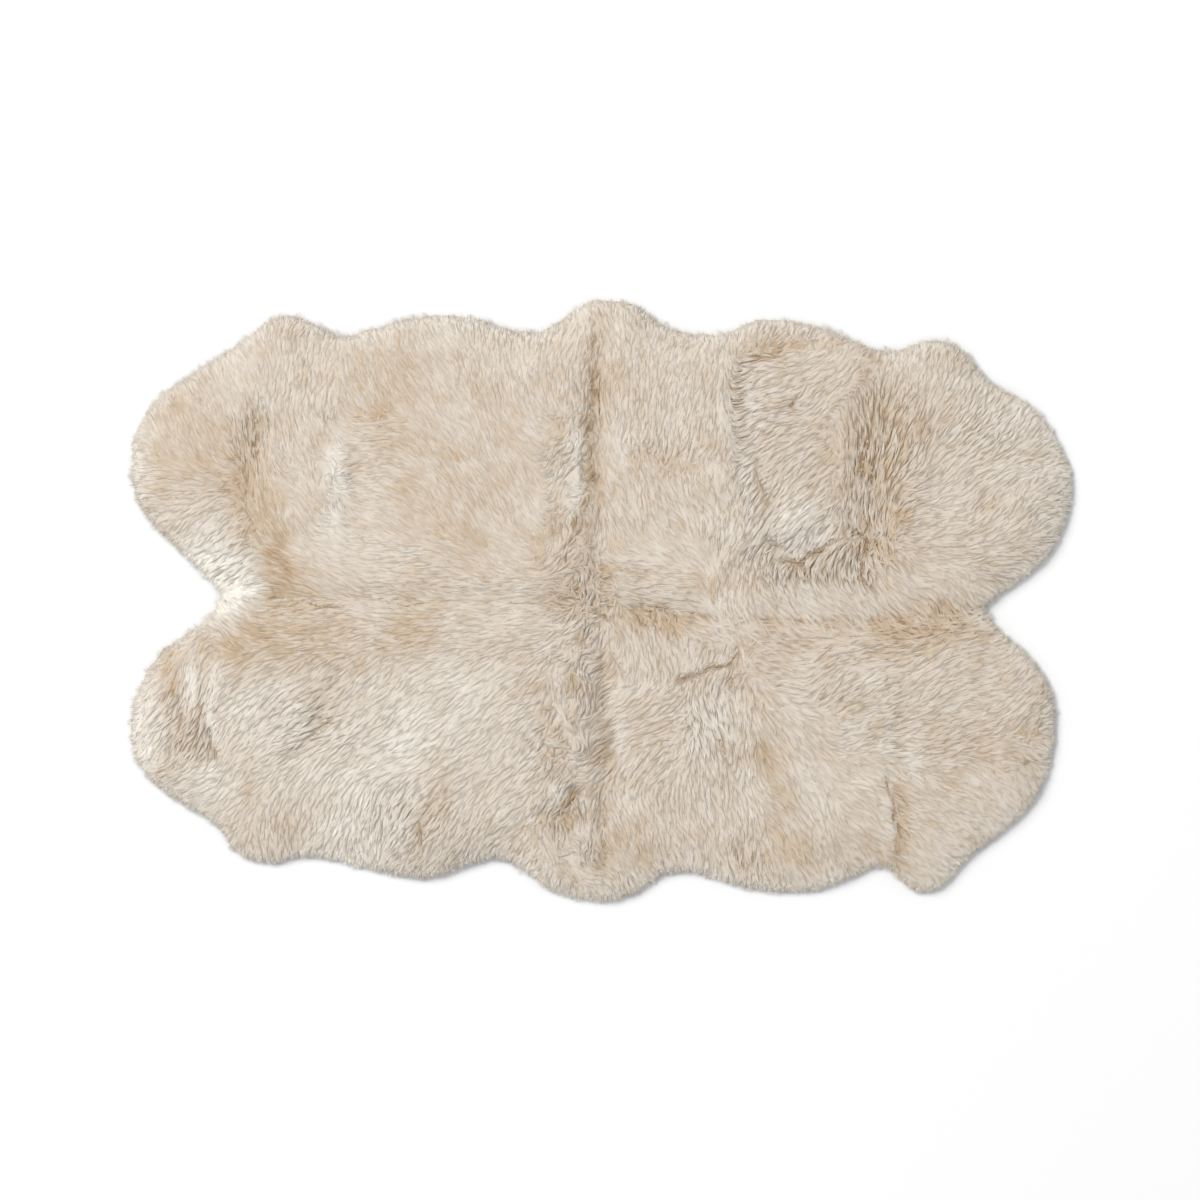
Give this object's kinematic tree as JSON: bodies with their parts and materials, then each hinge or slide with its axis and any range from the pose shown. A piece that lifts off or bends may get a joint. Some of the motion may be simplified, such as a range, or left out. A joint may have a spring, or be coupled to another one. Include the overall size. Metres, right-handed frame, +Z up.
{
  "type": "sheepskin rug",
  "caption": "Long-wool sheepskin pelts, sewn edge to edge into one lobed rug that lies flat on a floor.",
  "frame": {"origin": "on the floor, under the middle of the rug's box", "axes": "+X along the rug's long side, +Y across it towards the back edge, +Z up out of the wool"},
  "size_m": [1.85, 1.1824, 0.0561],
  "materials": {
    "back_left_wool": "long lying wool on the hide, beige, matt with a soft sheen",
    "back_right_wool": "long lying wool on the hide, beige with tan partings, matt with a soft sheen",
    "front_left_wool": "long lying wool on the hide, cream, matt with a soft sheen",
    "front_right_wool": "long lying wool on the hide, cream, matt with a soft sheen"
  },
  "bodies": {
    "root": {"pelt_back_left": "back_left_wool", "pelt_back_right": "back_right_wool", "pelt_front_left": "front_left_wool", "pelt_front_right": "front_right_wool"}
  },
  "joints": []
}
